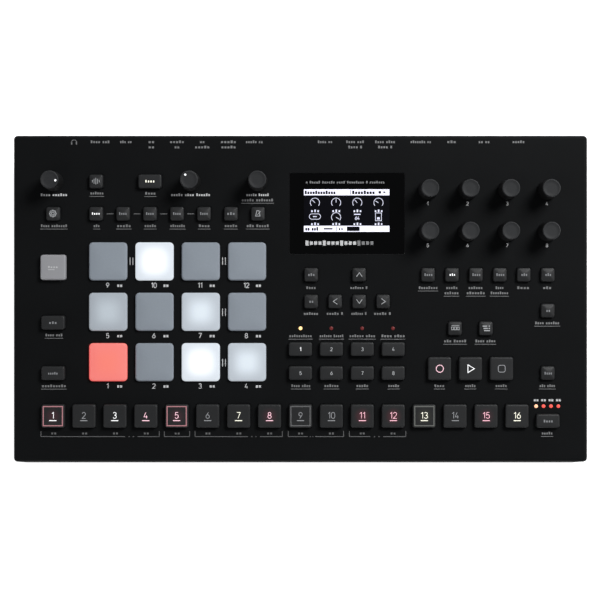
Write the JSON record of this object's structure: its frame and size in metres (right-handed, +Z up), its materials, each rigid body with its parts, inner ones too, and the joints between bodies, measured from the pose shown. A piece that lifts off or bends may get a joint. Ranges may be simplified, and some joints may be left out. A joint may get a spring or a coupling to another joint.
{
  "type": "drum machine",
  "caption": "Desktop drum machine: sloping steel case with backlit pads, step keys, knobs, a small display and rear sockets, every control moving.",
  "frame": {"origin": "on the table, under the middle of the whole object's box", "axes": "+X to the player's right, +Y to the rear, where the sockets are, +Z up"},
  "size_m": [0.385, 0.2208, 0.0819],
  "materials": {
    "panel_paint": "fine matte black powder coat",
    "case_paint": "fine matte black powder coat",
    "foot_rubber": "matte",
    "board": "green solder mask",
    "pane": "polished",
    "module": "moulded frame",
    "socket_plastic": "moulded",
    "nut_metal": "dark nickel",
    "socket_metal": "tin plated",
    "switch_plastic": "moulded",
    "screw_metal": "black oxide",
    "knob_plastic": "fine matte",
    "key_plastic": "fine matte",
    "function_plastic": "fine matte",
    "pad_rubber": "translucent silicone"
  },
  "bodies": {
    "case": {"top_panel": "panel_paint", "bottom_case": "case_paint", "rubber_feet": "foot_rubber", "control_board": "board", "main_board": "board", "display_window": "pane", "display_module": "module", "phone_jacks": "socket_plastic", "jack_nuts": "nut_metal", "midi_sockets": "socket_plastic", "usb_socket": "socket_metal", "power_inlet": "socket_plastic", "power_switch": "switch_plastic", "screws": "screw_metal"},
    "power_rocker": {"power_rocker": "switch_plastic"},
    "main_volume_knob": {"main_volume_knob": "knob_plastic"},
    "performance_knob": {"performance_knob": "knob_plastic"},
    "track_level_knob": {"track_level_knob": "knob_plastic"},
    "data_knob_1": {"data_knob_1": "knob_plastic"},
    "data_knob_2": {"data_knob_2": "knob_plastic"},
    "data_knob_3": {"data_knob_3": "knob_plastic"},
    "data_knob_4": {"data_knob_4": "knob_plastic"},
    "data_knob_5": {"data_knob_5": "knob_plastic"},
    "data_knob_6": {"data_knob_6": "knob_plastic"},
    "data_knob_7": {"data_knob_7": "knob_plastic"},
    "data_knob_8": {"data_knob_8": "knob_plastic"},
    "record_key": {"record_key": "key_plastic"},
    "play_key": {"play_key": "key_plastic"},
    "stop_key": {"stop_key": "key_plastic"},
    "function_key": {"function_key": "function_plastic"},
    "small_keys": {"small_keys": "key_plastic"},
    "wide_keys": {"wide_keys": "key_plastic"},
    "pad_01": {"pad_01": "pad_rubber"},
    "pad_02": {"pad_02": "pad_rubber"},
    "pad_03": {"pad_03": "pad_rubber"},
    "pad_04": {"pad_04": "pad_rubber"},
    "pad_05": {"pad_05": "pad_rubber"},
    "pad_06": {"pad_06": "pad_rubber"},
    "pad_07": {"pad_07": "pad_rubber"},
    "pad_08": {"pad_08": "pad_rubber"},
    "pad_09": {"pad_09": "pad_rubber"},
    "pad_10": {"pad_10": "pad_rubber"},
    "pad_11": {"pad_11": "pad_rubber"},
    "pad_12": {"pad_12": "pad_rubber"},
    "step_key_01": {"step_key_01": "key_plastic"},
    "step_key_02": {"step_key_02": "key_plastic"},
    "step_key_03": {"step_key_03": "key_plastic"},
    "step_key_04": {"step_key_04": "key_plastic"},
    "step_key_05": {"step_key_05": "key_plastic"},
    "step_key_06": {"step_key_06": "key_plastic"},
    "step_key_07": {"step_key_07": "key_plastic"},
    "step_key_08": {"step_key_08": "key_plastic"},
    "step_key_09": {"step_key_09": "key_plastic"},
    "step_key_10": {"step_key_10": "key_plastic"},
    "step_key_11": {"step_key_11": "key_plastic"},
    "step_key_12": {"step_key_12": "key_plastic"},
    "step_key_13": {"step_key_13": "key_plastic"},
    "step_key_14": {"step_key_14": "key_plastic"},
    "step_key_15": {"step_key_15": "key_plastic"},
    "step_key_16": {"step_key_16": "key_plastic"}
  },
  "joints": [
    {"name": "power_rocker_tip", "type": "hinge", "parent": "case", "child": "power_rocker", "pos_m": [0.1461, 0.10403, 0.027], "axis": [0, 0, 1], "range_deg": [0, 20]},
    {"name": "main_volume_turn", "type": "hinge", "parent": "case", "child": "main_volume_knob", "pos_m": [-0.1654, 0.07587, 0.06338], "axis": [0, -0.1219, 0.9925], "range_deg": [-52.3, 247.7]},
    {"name": "performance_turn", "type": "hinge", "parent": "case", "child": "performance_knob", "pos_m": [-0.0735, 0.07587, 0.06338], "axis": [0, -0.1219, 0.9925], "range_deg": [-186.9, 113.1]},
    {"name": "track_level_turn", "type": "hinge", "parent": "case", "child": "track_level_knob", "pos_m": [-0.0285, 0.07587, 0.06338], "axis": [0, -0.1219, 0.9925], "continuous": true},
    {"name": "data_1_turn", "type": "hinge", "parent": "case", "child": "data_knob_1", "pos_m": [0.08551, 0.07031, 0.06269], "axis": [0, -0.1219, 0.9925], "continuous": true},
    {"name": "data_2_turn", "type": "hinge", "parent": "case", "child": "data_knob_2", "pos_m": [0.11214, 0.07031, 0.06269], "axis": [0, -0.1219, 0.9925], "continuous": true},
    {"name": "data_3_turn", "type": "hinge", "parent": "case", "child": "data_knob_3", "pos_m": [0.13877, 0.07031, 0.06269], "axis": [0, -0.1219, 0.9925], "continuous": true},
    {"name": "data_4_turn", "type": "hinge", "parent": "case", "child": "data_knob_4", "pos_m": [0.1654, 0.07031, 0.06269], "axis": [0, -0.1219, 0.9925], "continuous": true},
    {"name": "data_5_turn", "type": "hinge", "parent": "case", "child": "data_knob_5", "pos_m": [0.08551, 0.04252, 0.05928], "axis": [0, -0.1219, 0.9925], "continuous": true},
    {"name": "data_6_turn", "type": "hinge", "parent": "case", "child": "data_knob_6", "pos_m": [0.11214, 0.04252, 0.05928], "axis": [0, -0.1219, 0.9925], "continuous": true},
    {"name": "data_7_turn", "type": "hinge", "parent": "case", "child": "data_knob_7", "pos_m": [0.13877, 0.04252, 0.05928], "axis": [0, -0.1219, 0.9925], "continuous": true},
    {"name": "data_8_turn", "type": "hinge", "parent": "case", "child": "data_knob_8", "pos_m": [0.1654, 0.04252, 0.05928], "axis": [0, -0.1219, 0.9925], "continuous": true},
    {"name": "record_key_press", "type": "slide", "parent": "case", "child": "record_key", "axis": [0, 0.1219, -0.9925], "range_m": [0, 0.0012], "stiffness_N_per_m": 600},
    {"name": "play_key_press", "type": "slide", "parent": "case", "child": "play_key", "axis": [0, 0.1219, -0.9925], "range_m": [0, 0.0012], "stiffness_N_per_m": 600},
    {"name": "stop_key_press", "type": "slide", "parent": "case", "child": "stop_key", "axis": [0, 0.1219, -0.9925], "range_m": [0, 0.0012], "stiffness_N_per_m": 600},
    {"name": "function_key_press", "type": "slide", "parent": "case", "child": "function_key", "axis": [0, 0.1219, -0.9925], "range_m": [0, 0.0012], "stiffness_N_per_m": 600},
    {"name": "small_keys_press", "type": "slide", "parent": "case", "child": "small_keys", "axis": [0, 0.1219, -0.9925], "range_m": [0, 0.0012], "stiffness_N_per_m": 4000},
    {"name": "wide_keys_press", "type": "slide", "parent": "case", "child": "wide_keys", "axis": [0, 0.1219, -0.9925], "range_m": [0, 0.0012], "stiffness_N_per_m": 3000},
    {"name": "pad_01_press", "type": "slide", "parent": "case", "child": "pad_01", "axis": [0, 0.1219, -0.9925], "range_m": [0, 0.0008], "stiffness_N_per_m": 1200},
    {"name": "pad_02_press", "type": "slide", "parent": "case", "child": "pad_02", "axis": [0, 0.1219, -0.9925], "range_m": [0, 0.0008], "stiffness_N_per_m": 1200},
    {"name": "pad_03_press", "type": "slide", "parent": "case", "child": "pad_03", "axis": [0, 0.1219, -0.9925], "range_m": [0, 0.0008], "stiffness_N_per_m": 1200},
    {"name": "pad_04_press", "type": "slide", "parent": "case", "child": "pad_04", "axis": [0, 0.1219, -0.9925], "range_m": [0, 0.0008], "stiffness_N_per_m": 1200},
    {"name": "pad_05_press", "type": "slide", "parent": "case", "child": "pad_05", "axis": [0, 0.1219, -0.9925], "range_m": [0, 0.0008], "stiffness_N_per_m": 1200},
    {"name": "pad_06_press", "type": "slide", "parent": "case", "child": "pad_06", "axis": [0, 0.1219, -0.9925], "range_m": [0, 0.0008], "stiffness_N_per_m": 1200},
    {"name": "pad_07_press", "type": "slide", "parent": "case", "child": "pad_07", "axis": [0, 0.1219, -0.9925], "range_m": [0, 0.0008], "stiffness_N_per_m": 1200},
    {"name": "pad_08_press", "type": "slide", "parent": "case", "child": "pad_08", "axis": [0, 0.1219, -0.9925], "range_m": [0, 0.0008], "stiffness_N_per_m": 1200},
    {"name": "pad_09_press", "type": "slide", "parent": "case", "child": "pad_09", "axis": [0, 0.1219, -0.9925], "range_m": [0, 0.0008], "stiffness_N_per_m": 1200},
    {"name": "pad_10_press", "type": "slide", "parent": "case", "child": "pad_10", "axis": [0, 0.1219, -0.9925], "range_m": [0, 0.0008], "stiffness_N_per_m": 1200},
    {"name": "pad_11_press", "type": "slide", "parent": "case", "child": "pad_11", "axis": [0, 0.1219, -0.9925], "range_m": [0, 0.0008], "stiffness_N_per_m": 1200},
    {"name": "pad_12_press", "type": "slide", "parent": "case", "child": "pad_12", "axis": [0, 0.1219, -0.9925], "range_m": [0, 0.0008], "stiffness_N_per_m": 1200},
    {"name": "step_key_01_press", "type": "slide", "parent": "case", "child": "step_key_01", "axis": [0, 0.1219, -0.9925], "range_m": [0, 0.0012], "stiffness_N_per_m": 600},
    {"name": "step_key_02_press", "type": "slide", "parent": "case", "child": "step_key_02", "axis": [0, 0.1219, -0.9925], "range_m": [0, 0.0012], "stiffness_N_per_m": 600},
    {"name": "step_key_03_press", "type": "slide", "parent": "case", "child": "step_key_03", "axis": [0, 0.1219, -0.9925], "range_m": [0, 0.0012], "stiffness_N_per_m": 600},
    {"name": "step_key_04_press", "type": "slide", "parent": "case", "child": "step_key_04", "axis": [0, 0.1219, -0.9925], "range_m": [0, 0.0012], "stiffness_N_per_m": 600},
    {"name": "step_key_05_press", "type": "slide", "parent": "case", "child": "step_key_05", "axis": [0, 0.1219, -0.9925], "range_m": [0, 0.0012], "stiffness_N_per_m": 600},
    {"name": "step_key_06_press", "type": "slide", "parent": "case", "child": "step_key_06", "axis": [0, 0.1219, -0.9925], "range_m": [0, 0.0012], "stiffness_N_per_m": 600},
    {"name": "step_key_07_press", "type": "slide", "parent": "case", "child": "step_key_07", "axis": [0, 0.1219, -0.9925], "range_m": [0, 0.0012], "stiffness_N_per_m": 600},
    {"name": "step_key_08_press", "type": "slide", "parent": "case", "child": "step_key_08", "axis": [0, 0.1219, -0.9925], "range_m": [0, 0.0012], "stiffness_N_per_m": 600},
    {"name": "step_key_09_press", "type": "slide", "parent": "case", "child": "step_key_09", "axis": [0, 0.1219, -0.9925], "range_m": [0, 0.0012], "stiffness_N_per_m": 600},
    {"name": "step_key_10_press", "type": "slide", "parent": "case", "child": "step_key_10", "axis": [0, 0.1219, -0.9925], "range_m": [0, 0.0012], "stiffness_N_per_m": 600},
    {"name": "step_key_11_press", "type": "slide", "parent": "case", "child": "step_key_11", "axis": [0, 0.1219, -0.9925], "range_m": [0, 0.0012], "stiffness_N_per_m": 600},
    {"name": "step_key_12_press", "type": "slide", "parent": "case", "child": "step_key_12", "axis": [0, 0.1219, -0.9925], "range_m": [0, 0.0012], "stiffness_N_per_m": 600},
    {"name": "step_key_13_press", "type": "slide", "parent": "case", "child": "step_key_13", "axis": [0, 0.1219, -0.9925], "range_m": [0, 0.0012], "stiffness_N_per_m": 600},
    {"name": "step_key_14_press", "type": "slide", "parent": "case", "child": "step_key_14", "axis": [0, 0.1219, -0.9925], "range_m": [0, 0.0012], "stiffness_N_per_m": 600},
    {"name": "step_key_15_press", "type": "slide", "parent": "case", "child": "step_key_15", "axis": [0, 0.1219, -0.9925], "range_m": [0, 0.0012], "stiffness_N_per_m": 600},
    {"name": "step_key_16_press", "type": "slide", "parent": "case", "child": "step_key_16", "axis": [0, 0.1219, -0.9925], "range_m": [0, 0.0012], "stiffness_N_per_m": 600}
  ]
}
